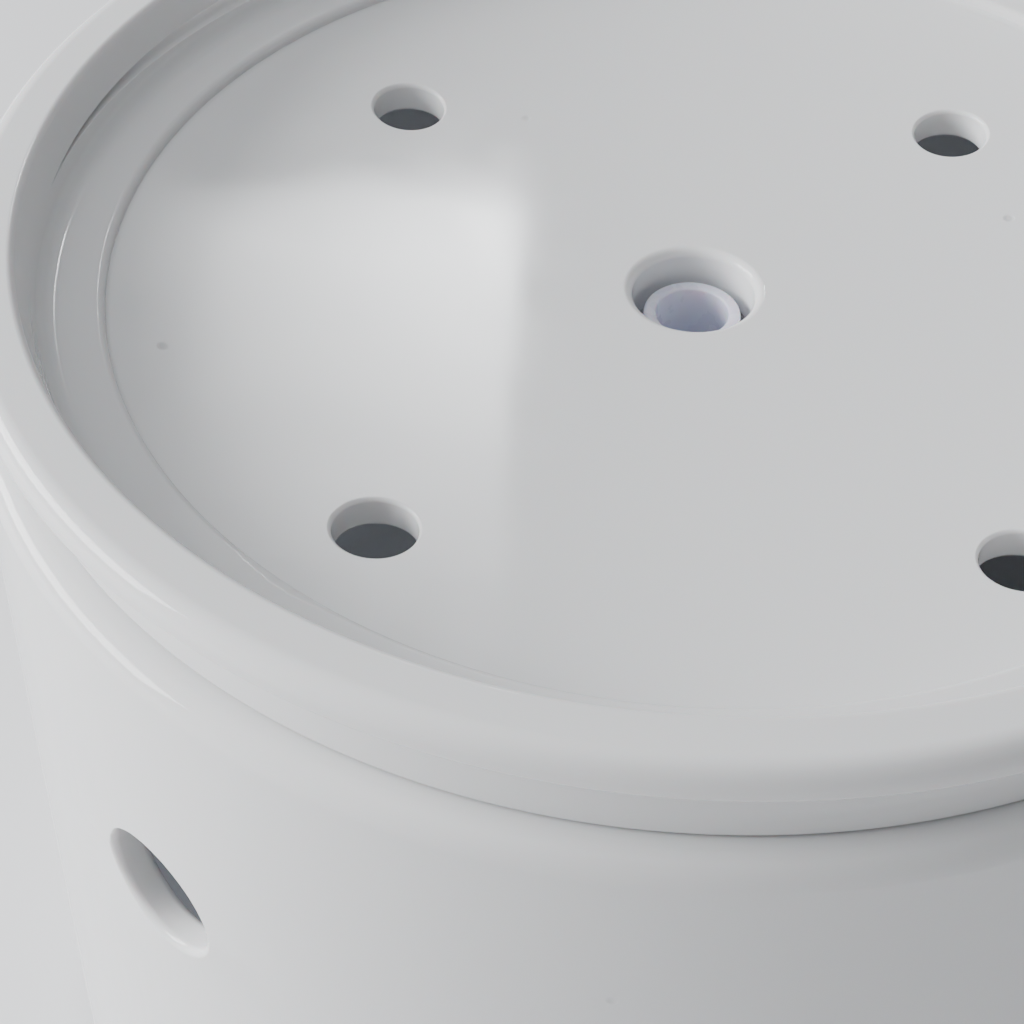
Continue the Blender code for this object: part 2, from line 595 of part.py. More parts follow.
def make_impeller():
    """Straight-bladed wheel: a hub on the shaft with radial blades."""
    hub_back = ROTOR_FRONT_Y + GAP
    impeller = on_axis(rod("impeller", IMPELLER_HUB_RADIUS, hub_back, HUB_FRONT_Y,
                           WHITE_PLASTIC, lay_along_y=True))
    for number in range(IMPELLER_BLADES // 2):
        blade = block("blade_pair_%d" % (number + 1),
                      (-IMPELLER_RADIUS, BLADE_BACK_Y, -BLADE_THICKNESS / 2),
                      (IMPELLER_RADIUS, BLADE_FRONT_Y, BLADE_THICKNESS / 2), None)
        blade.rotation_euler = (0.0, 2 * math.pi * number / IMPELLER_BLADES, 0.0)
        combine(impeller, on_axis(blade), "UNION")
    bore = rod("impeller_bore_cutter", SHAFT_RADIUS + GAP, hub_back - IMPELLER_RADIUS,
               HUB_FRONT_Y + IMPELLER_RADIUS, steps=16, lay_along_y=True)
    combine(impeller, on_axis(bore))


def make_volute():
    """Impeller chamber with the intake eye, the front bearing's spider and the hose barb."""
    inner_front = VOLUTE_FRONT_Y - VOLUTE_WALL
    points = [(VOLUTE_BORE, VOLUTE_BACK_Y), (VOLUTE_BORE, inner_front),
              (EYE_RADIUS, inner_front), (EYE_RADIUS, VOLUTE_FRONT_Y),
              (VOLUTE_RADIUS, VOLUTE_FRONT_Y), (VOLUTE_RADIUS, VOLUTE_BACK_Y)]
    volute = turned("volute_cover", points, BLACK_PLASTIC, STEPS_SMALL, closed=True,
                    lay_along_y=True)
    on_axis(volute)
    hub = rod("bearing_hub", BEARING_HUB_RADIUS, BEARING_BACK_Y, BEARING_FRONT_Y,
              lay_along_y=True)
    bore = rod("bearing_bore_cutter", BUSH_RADIUS + GAP, BEARING_BACK_Y - VOLUTE_WALL,
               BEARING_FRONT_Y + VOLUTE_WALL, lay_along_y=True)
    spoke_reach = EYE_RADIUS + VOLUTE_WALL / 2
    for number in range(3):
        spoke = block("spoke_%d" % (number + 1), (0.0, inner_front + GAP, -BLADE_THICKNESS / 2),
                      (spoke_reach, VOLUTE_FRONT_Y - GAP, BLADE_THICKNESS / 2), None)
        spoke.rotation_euler = (0.0, 2 * math.pi * number / 3 + math.pi / 6, 0.0)
        combine(volute, on_axis(spoke), "UNION")
    combine(volute, on_axis(hub), "UNION")
    combine(volute, on_axis(bore))
    base = AXIS_Z + VOLUTE_BORE + VOLUTE_WALL / 4
    root = BARB_RADIUS - BARB_STEP
    nozzle_corners = [(0.0, base), (NOZZLE_BASE_RADIUS, base),
                      (NOZZLE_BASE_RADIUS, HOSE_BOTTOM_Z - GAP), (root, HOSE_BOTTOM_Z - GAP)]
    for number in range(BARB_COUNT):
        level = HOSE_BOTTOM_Z + BARB_PITCH * (number + 0.5)
        nozzle_corners += [(root, level), (BARB_RADIUS, level)]
    nozzle_corners += [(root, NOZZLE_TOP_Z), (0.0, NOZZLE_TOP_Z)]
    nozzle = turned("nozzle", nozzle_corners[::-1], None, 20)
    passage = rod("nozzle_bore_cutter", NOZZLE_BORE_RADIUS, AXIS_Z + VOLUTE_BORE - 0.0015,
                  NOZZLE_TOP_Z + NOZZLE_LENGTH, steps=16)
    combine(volute, nozzle, "UNION")
    combine(volute, passage)
    seal_radius = VOLUTE_BORE - GAP - O_RING_THICKNESS / 2
    section = [(seal_radius + O_RING_THICKNESS / 2 * math.cos(a),
                O_RING_THICKNESS / 2 * math.sin(a))
               for a in (2 * math.pi * i / 8 for i in range(8))]
    on_axis(turned("volute_seal", section[::-1], BLACK_RUBBER, STEPS_SMALL, closed=True,
                   location=(0.0, MOTOR_FRONT_Y + COLLAR_LENGTH / 2 + GAP, 0.0),
                   lay_along_y=True))


# ---------------------------------------------------------------- the intake end
def make_intake_cover():
    """Slotted cover that pulls off forwards over the volute."""
    half = PUMP_WIDTH / 2
    low = PUMP_BOTTOM_Z - AXIS_Z
    high = PUMP_TOP_Z - AXIS_Z
    cover = on_axis(block("intake_cover", (-half, COVER_BACK_Y - PUMP_ROUND, low),
                          (half, COVER_FRONT_Y, high), BLACK_PLASTIC, PUMP_ROUND))
    trim = block("cover_trim_cutter", (-PUMP_WIDTH, COVER_BACK_Y - 2 * PUMP_ROUND, -PUMP_HEIGHT),
                 (PUMP_WIDTH, COVER_BACK_Y, PUMP_HEIGHT), None)
    combine(cover, on_axis(trim))
    room = block("cover_room_cutter", (COVER_WALL - half, COVER_BACK_Y - COVER_WALL, low + COVER_WALL),
                 (half - COVER_WALL, COVER_INSIDE_Y, high - COVER_WALL), None)
    slot_half = NOZZLE_BASE_RADIUS + 2 * GAP
    notch = block("nozzle_notch_cutter", (-slot_half, COVER_BACK_Y - COVER_WALL, 0.0),
                  (slot_half, slot_half, high + COVER_WALL), None)
    pin_hole = rod("dial_pin_cutter", DIAL_PIN_RADIUS + GAP, COVER_INSIDE_Y - COVER_WALL,
                   COVER_FRONT_Y + COVER_WALL, lay_along_y=True)
    for tool in (room, notch, pin_hole):
        combine(cover, on_axis(tool))
    for side in (-1, 1):
        window = rod("cover_window_cutter_%d" % (side + 2), DIAL_WINDOW_RADIUS,
                     COVER_INSIDE_Y - COVER_WALL, COVER_FRONT_Y + COVER_WALL, steps=20,
                     location=(side * DIAL_WINDOW_OFFSET, 0.0, 0.0), lay_along_y=True)
        combine(cover, on_axis(window))
    slot_low = low + 2 * COVER_WALL
    slot_high = -DIAL_RADIUS - 2 * GAP
    spacing = (PUMP_WIDTH - 4 * COVER_WALL) / INTAKE_SLOTS
    for number in range(INTAKE_SLOTS):
        x = spacing * (number - (INTAKE_SLOTS - 1) / 2)
        slot = block("intake_slot_cutter_%d" % (number + 1),
                     (x - INTAKE_SLOT_WIDTH / 2, COVER_INSIDE_Y - COVER_WALL, slot_low),
                     (x + INTAKE_SLOT_WIDTH / 2, COVER_FRONT_Y + COVER_WALL, slot_high), None)
        combine(cover, on_axis(slot))


def make_flow_dial():
    """Two-window disc that turns over the cover's windows, snapped through its pin hole."""
    back = COVER_FRONT_Y + GAP
    front = back + DIAL_THICKNESS
    head = COVER_INSIDE_Y - GAP
    points = outline([
        (0.0, front), (DIAL_RADIUS, front, DIAL_ROUND), (DIAL_RADIUS, back),
        (DIAL_PIN_RADIUS, back), (DIAL_PIN_RADIUS, head),
        (DIAL_PIN_RADIUS + 2 * GAP, head), (DIAL_PIN_RADIUS, head - 4 * GAP),
        (0.0, head - 4 * GAP)], segments=2)
    dial = on_axis(turned("flow_dial", points, WHITE_PLASTIC, STEPS_SMALL, lay_along_y=True))
    grip_half = DIAL_RADIUS * 0.8
    grip = block("dial_grip", (-DIAL_GRIP_WIDTH / 2, front - GAP, -grip_half),
                 (DIAL_GRIP_WIDTH / 2, front + DIAL_GRIP_HEIGHT, grip_half), None,
                 rounding=DIAL_ROUND)
    combine(dial, on_axis(grip), "UNION")
    for side in (-1, 1):
        window = rod("dial_window_cutter_%d" % (side + 2), DIAL_WINDOW_RADIUS,
                     back - DIAL_THICKNESS, front + 2 * DIAL_GRIP_HEIGHT, steps=20,
                     location=(side * DIAL_WINDOW_OFFSET, 0.0, 0.0), lay_along_y=True)
        combine(dial, on_axis(window))


def make_sponge():
    """Flat filter sponge carried inside the intake cover."""
    half = PUMP_WIDTH / 2 - COVER_WALL - GAP
    low = PUMP_BOTTOM_Z - AXIS_Z + COVER_WALL + GAP
    high = PUMP_TOP_Z - AXIS_Z - COVER_WALL - GAP
    back = BEARING_FRONT_Y + 2 * GAP
    on_axis(block("filter_sponge", (-half, back, low), (half, back + SPONGE_THICKNESS, high),
                  SPONGE))


make_reservoir()
make_foot_pads()
make_drinking_bowl()
make_riser_hose()
make_pump_housing()
make_suction_cups()
make_stator()
make_rear_seal()
make_rotor()
make_impeller()
make_volute()
make_intake_cover()
make_flow_dial()
make_sponge()
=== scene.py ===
import math

import bmesh
import bpy
from mathutils import Matrix, Vector


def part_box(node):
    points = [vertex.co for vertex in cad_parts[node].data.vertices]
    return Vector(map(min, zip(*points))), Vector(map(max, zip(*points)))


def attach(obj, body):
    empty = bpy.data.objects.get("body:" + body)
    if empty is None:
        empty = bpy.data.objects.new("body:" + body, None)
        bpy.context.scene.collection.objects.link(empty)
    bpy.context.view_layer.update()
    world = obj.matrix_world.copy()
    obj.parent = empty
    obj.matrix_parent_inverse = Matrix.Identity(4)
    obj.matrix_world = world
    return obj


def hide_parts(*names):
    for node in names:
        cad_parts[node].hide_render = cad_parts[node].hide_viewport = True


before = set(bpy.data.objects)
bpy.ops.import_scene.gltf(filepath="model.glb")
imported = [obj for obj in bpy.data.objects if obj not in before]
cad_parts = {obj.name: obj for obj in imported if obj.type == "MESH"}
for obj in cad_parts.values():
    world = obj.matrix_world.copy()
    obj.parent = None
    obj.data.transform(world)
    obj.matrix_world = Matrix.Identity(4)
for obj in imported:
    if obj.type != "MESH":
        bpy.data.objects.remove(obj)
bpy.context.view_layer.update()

# ==================================================================== studio
# A pale table top, a small window behind that the glaze mirrors, a broad low softbox on the left
# and a sky that is brightest overhead and on the left. The camera looks down from the front.

BOWL_LOW, BOWL_HIGH = (Vector(corner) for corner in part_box("drinking_bowl"))
RIM_Z = BOWL_HIGH.z

CAMERA_PLACE = Vector((0.0, -0.1929, RIM_Z + 0.1390))
CAMERA_AIM = Vector((-0.01585, -0.0563, RIM_Z))
CAMERA_LENS = 70.45

camera_data = bpy.data.cameras.new("camera")
camera_data.lens = CAMERA_LENS
camera_data.sensor_width = 36.0
camera_data.clip_start = 0.01
camera_data.clip_end = 20.0
camera = bpy.data.objects.new("camera", camera_data)
camera.location = CAMERA_PLACE
camera.rotation_euler = (CAMERA_AIM - CAMERA_PLACE).to_track_quat("-Z", "Y").to_euler()
bpy.context.scene.collection.objects.link(camera)
bpy.context.scene.camera = camera


def softbox(name, bearing, height, distance, width, tall, power, colour=(1.0, 1.0, 1.0)):
    """A rectangular lamp at a bearing and an elevation in degrees, facing the bowl."""
    lamp_data = bpy.data.lights.new(name, "AREA")
    lamp_data.shape = "RECTANGLE"
    lamp_data.size = width
    lamp_data.size_y = tall
    lamp_data.energy = power
    lamp_data.color = colour
    lamp = bpy.data.objects.new(name, lamp_data)
    around, up = math.radians(bearing), math.radians(height)
    aside = Vector((math.cos(around) * math.cos(up), math.sin(around) * math.cos(up), math.sin(up)))
    lamp.location = Vector((0.0, 0.0, RIM_Z)) + aside * distance
    lamp.rotation_euler = (-aside).to_track_quat("-Z", "Y").to_euler()
    bpy.context.scene.collection.objects.link(lamp)
    return lamp


window = softbox("window", 97.2, 37.75, 1.6, 0.166, 0.100, 3.0, (0.97, 0.985, 1.0))
softbox("key", 180.0, 21.0, 1.5, 1.1, 0.55, 45.0, (0.98, 0.99, 1.0))

# the window is brightest at its right-hand edge and fades into a curtain on the left
window.data.use_nodes = True
pane = window.data.node_tree.nodes
joins = window.data.node_tree.links
across = pane.new("ShaderNodeNewGeometry")
split = pane.new("ShaderNodeSeparateXYZ")
joins.new(across.outputs["Parametric"], split.inputs[0])
fades = []
for axis, dark, clear in (("X", 1.0, 0.0), ("Y", 0.0, 0.9)):
    fade = pane.new("ShaderNodeMapRange")
    fade.inputs["From Min"].default_value = dark
    fade.inputs["From Max"].default_value = clear
    joins.new(split.outputs[axis], fade.inputs["Value"])
    fades.append(fade.outputs["Result"])
veil = pane.new("ShaderNodeMath")
veil.operation = "MULTIPLY"
joins.new(fades[0], veil.inputs[0])
joins.new(fades[1], veil.inputs[1])
joins.new(veil.outputs["Value"], pane["Emission"].inputs["Strength"])

# a little light that reaches the inside of the vessel through the porcelain
glow_data = bpy.data.lights.new("inside_glow", "POINT")
glow_data.energy = 0.017
glow_data.color = (0.84, 0.90, 1.0)
glow_data.shadow_soft_size = 0.012
glow = bpy.data.objects.new("inside_glow", glow_data)
glow.location = (-0.050, -0.018, 0.060)
glow.visible_camera = False
glow.visible_glossy = False
bpy.context.scene.collection.objects.link(glow)

world = bpy.data.worlds.new("studio")
world.use_nodes = True
sky = world.node_tree.nodes
lines = world.node_tree.links
heading = sky.new("ShaderNodeTexCoord")
apart = sky.new("ShaderNodeSeparateXYZ")
lines.new(heading.outputs["Generated"], apart.inputs[0])
light = None
for axis, low, high, dim, bright in (("X", 0.8, -0.9, 0.01, 0.58), ("Y", 0.5, -0.9, 0.03, 0.13),
                                     ("Z", 0.70, 1.0, 0.0, 1.35)):
    ramp = sky.new("ShaderNodeMapRange")
    ramp.interpolation_type = "SMOOTHSTEP"
    ramp.inputs["From Min"].default_value = low
    ramp.inputs["From Max"].default_value = high
    ramp.inputs["To Min"].default_value = dim
    ramp.inputs["To Max"].default_value = bright
    lines.new(apart.outputs[axis], ramp.inputs["Value"])
    total = sky.new("ShaderNodeMath")
    total.inputs[0].default_value = 0.0
    if light is not None:
        lines.new(light, total.inputs[0])
    lines.new(ramp.outputs["Result"], total.inputs[1])
    light = total.outputs["Value"]
lines.new(light, sky["Background"].inputs["Strength"])
sky["Background"].inputs["Color"].default_value = (0.86, 0.88, 0.91, 1.0)
bpy.context.scene.world = world


class Wire:
    """A socket in a material's nodes; arithmetic on it adds Math nodes."""

    def __init__(self, tree, socket=None):
        self.tree = tree
        self.socket = socket

    def node(self, kind, settings=None, output=0, **values):
        """Add a node, apply its settings, then feed its sockets; i6=x feeds input number 6."""
        made = self.tree.nodes.new("ShaderNode" + kind)
        for name, value in (settings or {}).items():
            if name == "stops":
                stops = made.color_ramp.elements
                while len(stops) < len(value):
                    stops.new(0.5)
                for stop, (place, shade) in zip(stops, value):
                    stop.position = place
                    stop.color = (*shade, 1.0) if isinstance(shade, tuple) else (shade,) * 3 + (1.0,)
            else:
                setattr(made, name, value)
        for name, value in values.items():
            number = name[1:]
            key = int(number) if name[0] == "i" and number.isdigit() else name.replace("_", " ")
            slot = made.inputs[key]
            if isinstance(value, Wire):
                self.tree.links.new(value.socket, slot)
            else:
                slot.default_value = value
        return Wire(self.tree, made.outputs[output])

    def sum_of(self, operation, first, second):
        return self.node("Math", {"operation": operation}, i0=first, i1=second)

    def __add__(self, other):
        return self.sum_of("ADD", self, other)

    def __rsub__(self, other):
        return self.sum_of("SUBTRACT", other, self)

    def __mul__(self, other):
        return self.sum_of("MULTIPLY", self, other)

    __radd__ = __add__
    __rmul__ = __mul__

    def places(self):
        return self.node("TexCoord", output=3)

    def noise(self, scale, detail=2.0, roughness=0.5, where=None):
        return self.node("TexNoise", Vector=where or self.places(), Scale=scale, Detail=detail,
                         Roughness=roughness)

    def between(self, value, low, high, start=0.0, end=1.0):
        return self.node("MapRange", Value=value, From_Min=low, From_Max=high, To_Min=start,
                         To_Max=end)

    def blend(self, amount, first, second):
        """Mix two colours; each is a Wire or an (r, g, b) tuple."""
        ends = [end if isinstance(end, Wire) else (*end, 1.0) for end in (first, second)]
        return self.node("Mix", {"data_type": "RGBA"}, output=2, i0=amount, i6=ends[0], i7=ends[1])

    def bump(self, height, strength, distance, after=None):
        values = {"Height": height, "Strength": strength, "Distance": distance}
        if after:
            values["Normal"] = after
        return self.node("Bump", **values)


def finish(name, recipe, **constants):
    """A material: the recipe returns what feeds the shader's sockets, the constants are set."""
    made = bpy.data.materials.new(name)
    made.use_nodes = True
    tree = made.node_tree
    shader = tree.nodes["Principled BSDF"]
    for key, value in constants.items():
        shader.inputs[key.replace("_", " ")].default_value = value
    for key, value in recipe(Wire(tree)).items():
        tree.links.new(value.socket, shader.inputs[key])
    return made


def table_top(wire):
    cloud = wire.noise(1.5, 3.0)
    return {"Base Color": wire.blend(cloud, (0.80, 0.80, 0.81), (0.86, 0.86, 0.87))}


TABLE_HALF = 2.0
table_form = bmesh.new()
bmesh.ops.create_grid(table_form, x_segments=1, y_segments=1, size=TABLE_HALF)
table_mesh = bpy.data.meshes.new("table")
table_form.to_mesh(table_mesh)
table_form.free()
table = bpy.data.objects.new("table", table_mesh)
table_mesh.materials.append(finish("table_top", table_top, Roughness=0.55))
bpy.context.scene.collection.objects.link(table)


# ==================================================================== drinking bowl
# One slip-cast porcelain piece, glazed white all over: a rolled rim, a neck, a ledge inside
# where its plug steps down into the vessel's mouth, and a floor that is a shallow dish. The
# return holes and the riser hole are pierced in the clay, so the glaze rounds their edges.

GAP = 0.0003
NECK_RADIUS = BOWL_HIGH.x - 0.0034
NECK_HEIGHT = 0.0137
RIM_DEPTH = 0.0042
RIM_INNER_RADIUS = NECK_RADIUS - 0.0036
PLUG_RADIUS = NECK_RADIUS - 0.0075 - GAP
LEDGE_OUTER_RADIUS = RIM_INNER_RADIUS - 0.0016
LEDGE_INNER_RADIUS = LEDGE_OUTER_RADIUS - 0.0072
LEDGE_Z = RIM_Z - 0.0095
BASIN_Z = RIM_Z - 0.0159
FLOOR_DISH = 0.0050
BOWL_FLOOR = 0.0042
FOOT_RING_INSIDE = PLUG_RADIUS - 0.0050
FOOT_RING_ROUND = 0.0018
RISER_HOLE_RADIUS = 0.0075
RISER_HOLE_ROUND = 0.0012
COLLAR_RADIUS = RISER_HOLE_RADIUS + 0.0040
COLLAR_Z = BASIN_Z - BOWL_FLOOR - 0.0038
COLLAR_ROUND = 0.0010
RETURN_HOLE_RADIUS = 0.00465
RETURN_HOLE_ROUND = 0.0006
DISH_POWER = 2
RETURN_HOLES = ((0.0200, 142.1), (0.0240, 46.6), (0.0133, -123.3), (0.0128, -50.8))


def outline(corners, fine=0.00025, fewest=3, most=10):
    """Points of a profile: (radius, height[, fillet]) corners, each fillet drawn as an arc."""
    points = []
    for index, corner in enumerate(corners):
        here = Vector(corner[:2])
        if len(corner) < 3 or index in (0, len(corners) - 1):
            points.append(here)
            continue
        back = (Vector(corners[index - 1][:2]) - here).normalized()
        ahead = (Vector(corners[index + 1][:2]) - here).normalized()
        half = back.angle(ahead) / 2
        centre = here + (back + ahead).normalized() * (corner[2] / math.sin(half))
        start = here + back * (corner[2] / math.tan(half)) - centre
        end = here + ahead * (corner[2] / math.tan(half)) - centre
        sweep = start.angle_signed(end)
        count = max(fewest, min(most, round(abs(sweep) * corner[2] / fine)))
        for step in range(count + 1):
            points.append(centre + Matrix.Rotation(-sweep * step / count, 2) @ start)
    return points


def spun_form(points, facets, closed):
    """Spin a profile round Z; it runs up the inside and down the outside."""
    form = bmesh.new()
    corners = [form.verts.new((radius, 0.0, height)) for radius, height in points]
    edges = [form.edges.new(pair) for pair in zip(corners, corners[1:])]
    if closed:
        edges.append(form.edges.new((corners[-1], corners[0])))
    bmesh.ops.spin(form, geom=corners + edges, cent=(0, 0, 0), axis=(0, 0, 1),
                   angle=2 * math.pi, steps=facets, use_merge=True)
    bmesh.ops.remove_doubles(form, verts=form.verts, dist=0.00001)
    bmesh.ops.recalc_face_normals(form, faces=form.faces)
    return form


def piece(name, form, material, crease=40.0):
    """Make a finished object from a bmesh, shaded smooth but for its creases."""
    mesh = bpy.data.meshes.new(name)
    form.to_mesh(mesh)
    form.free()
    mesh.shade_smooth()
    mesh.set_sharp_from_angle(angle=math.radians(crease))
    made = bpy.data.objects.new(name, mesh)
    if material:
        mesh.materials.append(material)
    bpy.context.scene.collection.objects.link(made)
    return made


def carve(made, tools, crease=40.0):
    """Cut the tools out of a piece and remove them."""
    for tool in tools:
        cut = made.modifiers.new(tool.name, "BOOLEAN")
        cut.object = tool
        cut.solver = "EXACT"
    bpy.context.view_layer.update()
    carved = bpy.data.meshes.new_from_object(
        made.evaluated_get(bpy.context.evaluated_depsgraph_get()))
    made.modifiers.clear()
    made.data = carved
    carved.shade_smooth()
    carved.set_sharp_from_angle(angle=math.radians(crease))
    for tool in tools:
        bpy.data.objects.remove(tool, do_unlink=True)
    weigh = made.modifiers.new("even shading", "WEIGHTED_NORMAL")
    weigh.keep_sharp = True
    weigh.weight = 100


def piercing(name, radius, rounding, low, high, margin, facets=64, arcs=7):
    """A tool for a pierced hole between two heights, flared so that the edges come out round."""
    almost = math.radians(85.0)
    turns = [almost * i / arcs for i in range(arcs + 1)]
    upper = [(radius + rounding * (1 - math.cos(a)), high - rounding * (1 - math.sin(a)))
             for a in turns]
    lower = [(r, low + high - z) for r, z in reversed(upper)]
    over = upper[-1][0]
    ends = [(over + margin * math.tan(almost), high + margin)]
    points = [(0.0, low - margin), (ends[0][0], low - margin), *lower, *upper, *ends,
              (0.0, high + margin)]
    return piece(name, spun_form(points, facets, False), None)


def white_glaze_recipe(wire):
    """Clear glossy glaze on a white body: faint clouding, rare specks, the slightest ripple."""
    cloud = wire.noise(28.0, 3.0, 0.55)
    drift = wire.noise(9.0, 2.0)
    tone = wire.blend(cloud, (0.795, 0.797, 0.802), (0.825, 0.825, 0.823))
    tone = wire.blend(wire.between(drift, 0.4, 0.75, 0.0, 0.35), tone, (0.790, 0.797, 0.812))
    pits = wire.node("TexVoronoi", {"feature": "F1"}, Vector=wire.places(), Scale=95.0)
    pit = wire.between(pits, 0.035, 0.075, 1.0, 0.0)
    rare = wire.between(wire.noise(60.0), 0.62, 0.66)
    speck = pit * rare
    tone = wire.blend(speck * 0.5, tone, (0.55, 0.54, 0.52))
    ripple = wire.bump(wire.noise(45.0, 1.0), 0.02, 0.0012)
    peel = wire.bump(wire.noise(520.0, 2.0, 0.6), 0.008, 0.0003, ripple)
    dents = wire.bump(1 - speck, 0.25, 0.0004, peel)
    gloss = wire.between(wire.noise(120.0, 3.0), 0.3, 0.7, 0.045, 0.075)
    return {"Base Color": tone, "Roughness": gloss, "Normal": dents}


white_glaze = finish("white_glaze", white_glaze_recipe, IOR=1.5, Specular_IOR_Level=0.28,
                     Subsurface_Weight=0.15, Subsurface_Scale=0.0015)


def dish(radius, middle):
    """Height of the floor at a radius: a shallow dish, deepest in the middle."""
    return middle + FLOOR_DISH * (radius / LEDGE_INNER_RADIUS) ** DISH_POWER


riser_lip = RISER_HOLE_RADIUS + RISER_HOLE_ROUND
basin_line = [(r, dish(r, BASIN_Z)) for r in
              (riser_lip + (LEDGE_INNER_RADIUS - riser_lip) * i / 60 for i in range(61))]
soffit_line = [(r, dish(r, BASIN_Z - BOWL_FLOOR)) for r in
               (FOOT_RING_INSIDE + (COLLAR_RADIUS - FOOT_RING_INSIDE) * i / 40 for i in range(41))]
bowl_outside = outline([
    (RIM_INNER_RADIUS + 0.0008, RIM_Z),
    (BOWL_HIGH.x, RIM_Z, 0.0026),
    (BOWL_HIGH.x, RIM_Z - RIM_DEPTH, 0.0012),
    (NECK_RADIUS, RIM_Z - RIM_DEPTH - 0.0006, 0.0010),
    (NECK_RADIUS, RIM_Z - NECK_HEIGHT, 0.0006),
    (PLUG_RADIUS, RIM_Z - NECK_HEIGHT, 0.0006),
    (PLUG_RADIUS, BOWL_LOW.z, FOOT_RING_ROUND),
    (FOOT_RING_INSIDE, BOWL_LOW.z, FOOT_RING_ROUND),
    (FOOT_RING_INSIDE, soffit_line[0][1], FOOT_RING_ROUND * 0.6),
    soffit_line[3]])
collar_line = outline([
    soffit_line[-2],
    (COLLAR_RADIUS, soffit_line[-1][1], COLLAR_ROUND),
    (COLLAR_RADIUS, COLLAR_Z, COLLAR_ROUND),
    (RISER_HOLE_RADIUS, COLLAR_Z, COLLAR_ROUND),
    (RISER_HOLE_RADIUS, basin_line[0][1], RISER_HOLE_ROUND),
    basin_line[0]])
bowl_inside = outline([
    basin_line[-1],
    (LEDGE_INNER_RADIUS, LEDGE_Z, 0.0009),
    (LEDGE_OUTER_RADIUS, LEDGE_Z, 0.0024),
    (RIM_INNER_RADIUS, RIM_Z, 0.0008),
    (RIM_INNER_RADIUS + 0.0008, RIM_Z)])
bowl_form = spun_form(bowl_outside + soffit_line[4:-2] + collar_line + basin_line[1:-1]
                      + bowl_inside[:-1], 192, True)
bowl = piece("porcelain_bowl", bowl_form, white_glaze)
punches = []
for number, (inset, bearing) in enumerate(RETURN_HOLES):
    reach = LEDGE_INNER_RADIUS - inset
    punch = piercing("return_hole_%d" % number, RETURN_HOLE_RADIUS, RETURN_HOLE_ROUND,
                     dish(reach, BASIN_Z - BOWL_FLOOR), dish(reach, BASIN_Z), 0.004)
    centre = reach * Vector((math.cos(math.radians(bearing)), math.sin(math.radians(bearing))))
    for point in punch.data.vertices:
        point.co.z += dish((centre + point.co.xy).length, 0.0) - dish(reach, 0.0)
    punch.location = (*centre, 0.0)
    punches.append(punch)
carve(bowl, punches)
bpy.context.view_layer.update()
bowl.data = bpy.data.meshes.new_from_object(
    bowl.evaluated_get(bpy.context.evaluated_depsgraph_get()))
bowl.modifiers.clear()

# the dish's own normals, which the long faces beside the holes would otherwise bend
normals = [corner.vector.copy() for corner in bowl.data.corner_normals]
for face in bowl.data.polygons:
    for corner in face.loop_indices:
        place = bowl.data.vertices[bowl.data.loops[corner].vertex_index].co
        reach = place.xy.length
        on_floor = (riser_lip - 0.00002 < reach < LEDGE_INNER_RADIUS + 0.00002
                    and abs(place.z - dish(reach, BASIN_Z)) < 0.00003)
        if on_floor and face.normal.z > 0.9:
            slope = DISH_POWER * (dish(reach, 0.0) / reach)
            normals[corner] = Vector((-slope * place.x / reach, -slope * place.y / reach,
                                      1.0)).normalized()
bowl.data.normals_split_custom_set(normals)
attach(bowl, "bowl")
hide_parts("drinking_bowl")

# ==================================================================== vessel
# The slip-cast reservoir: a flared wall, an inward shoulder that the bowl's neck stands on, a
# cable hole above the water line, and a foot ring, glazed here like the rest though the real
# one is wiped clean of glaze before firing.

VESSEL_LOW, VESSEL_HIGH = (Vector(corner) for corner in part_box("reservoir"))
VESSEL_WALL = 0.0045
SHOULDER_RADIUS = NECK_RADIUS + 0.0041
SHOULDER_ROUND = 0.0030
FOOT_RADIUS = SHOULDER_RADIUS + 0.0055
FOOT_RING = 0.0080
FOOT_RECESS = 0.0018
RECESS_Z = VESSEL_LOW.z + FOOT_RECESS
VESSEL_FLOOR_Z = RECESS_Z + 0.0050
MOUTH_RADIUS = PLUG_RADIUS + GAP
CABLE_HOLE_RADIUS = 0.00825
CABLE_HOLE_ROUND = 0.0011
CABLE_HOLE_BEARING = -128.5
CABLE_HOLE_Z = RIM_Z - 0.0530

flare = (FOOT_RADIUS - SHOULDER_RADIUS) / (VESSEL_HIGH.z - VESSEL_LOW.z)
inner_foot = FOOT_RADIUS - VESSEL_WALL - flare * (VESSEL_FLOOR_Z - VESSEL_LOW.z)
vessel_points = outline([
    (0.0, VESSEL_FLOOR_Z),
    (inner_foot, VESSEL_FLOOR_Z, 0.0060),
    (SHOULDER_RADIUS - VESSEL_WALL, VESSEL_HIGH.z - VESSEL_WALL, 0.003),
    (MOUTH_RADIUS, VESSEL_HIGH.z - VESSEL_WALL, 0.001),
    (MOUTH_RADIUS, VESSEL_HIGH.z, 0.0008),
    (SHOULDER_RADIUS, VESSEL_HIGH.z, SHOULDER_ROUND),
    (FOOT_RADIUS, VESSEL_LOW.z, 0.0020),
    (FOOT_RADIUS - FOOT_RING, VESSEL_LOW.z, 0.0008),
    (FOOT_RADIUS - FOOT_RING - 0.001, RECESS_Z),
    (0.0, RECESS_Z)])
vessel = piece("porcelain_vessel", spun_form(vessel_points, 192, False), white_glaze)
wall_radius = SHOULDER_RADIUS + flare * (VESSEL_HIGH.z - CABLE_HOLE_Z)
cable_punch = piercing("cable_hole", CABLE_HOLE_RADIUS, CABLE_HOLE_ROUND,
                       wall_radius - VESSEL_WALL, wall_radius, 0.002)
for point in cable_punch.data.vertices:
    point.co.z += math.sqrt(wall_radius ** 2 - min(point.co.y, wall_radius) ** 2) - wall_radius
turn = Matrix.Rotation(math.radians(CABLE_HOLE_BEARING), 4, "Z")
raise_up = Matrix.Translation((0.0, 0.0, CABLE_HOLE_Z))
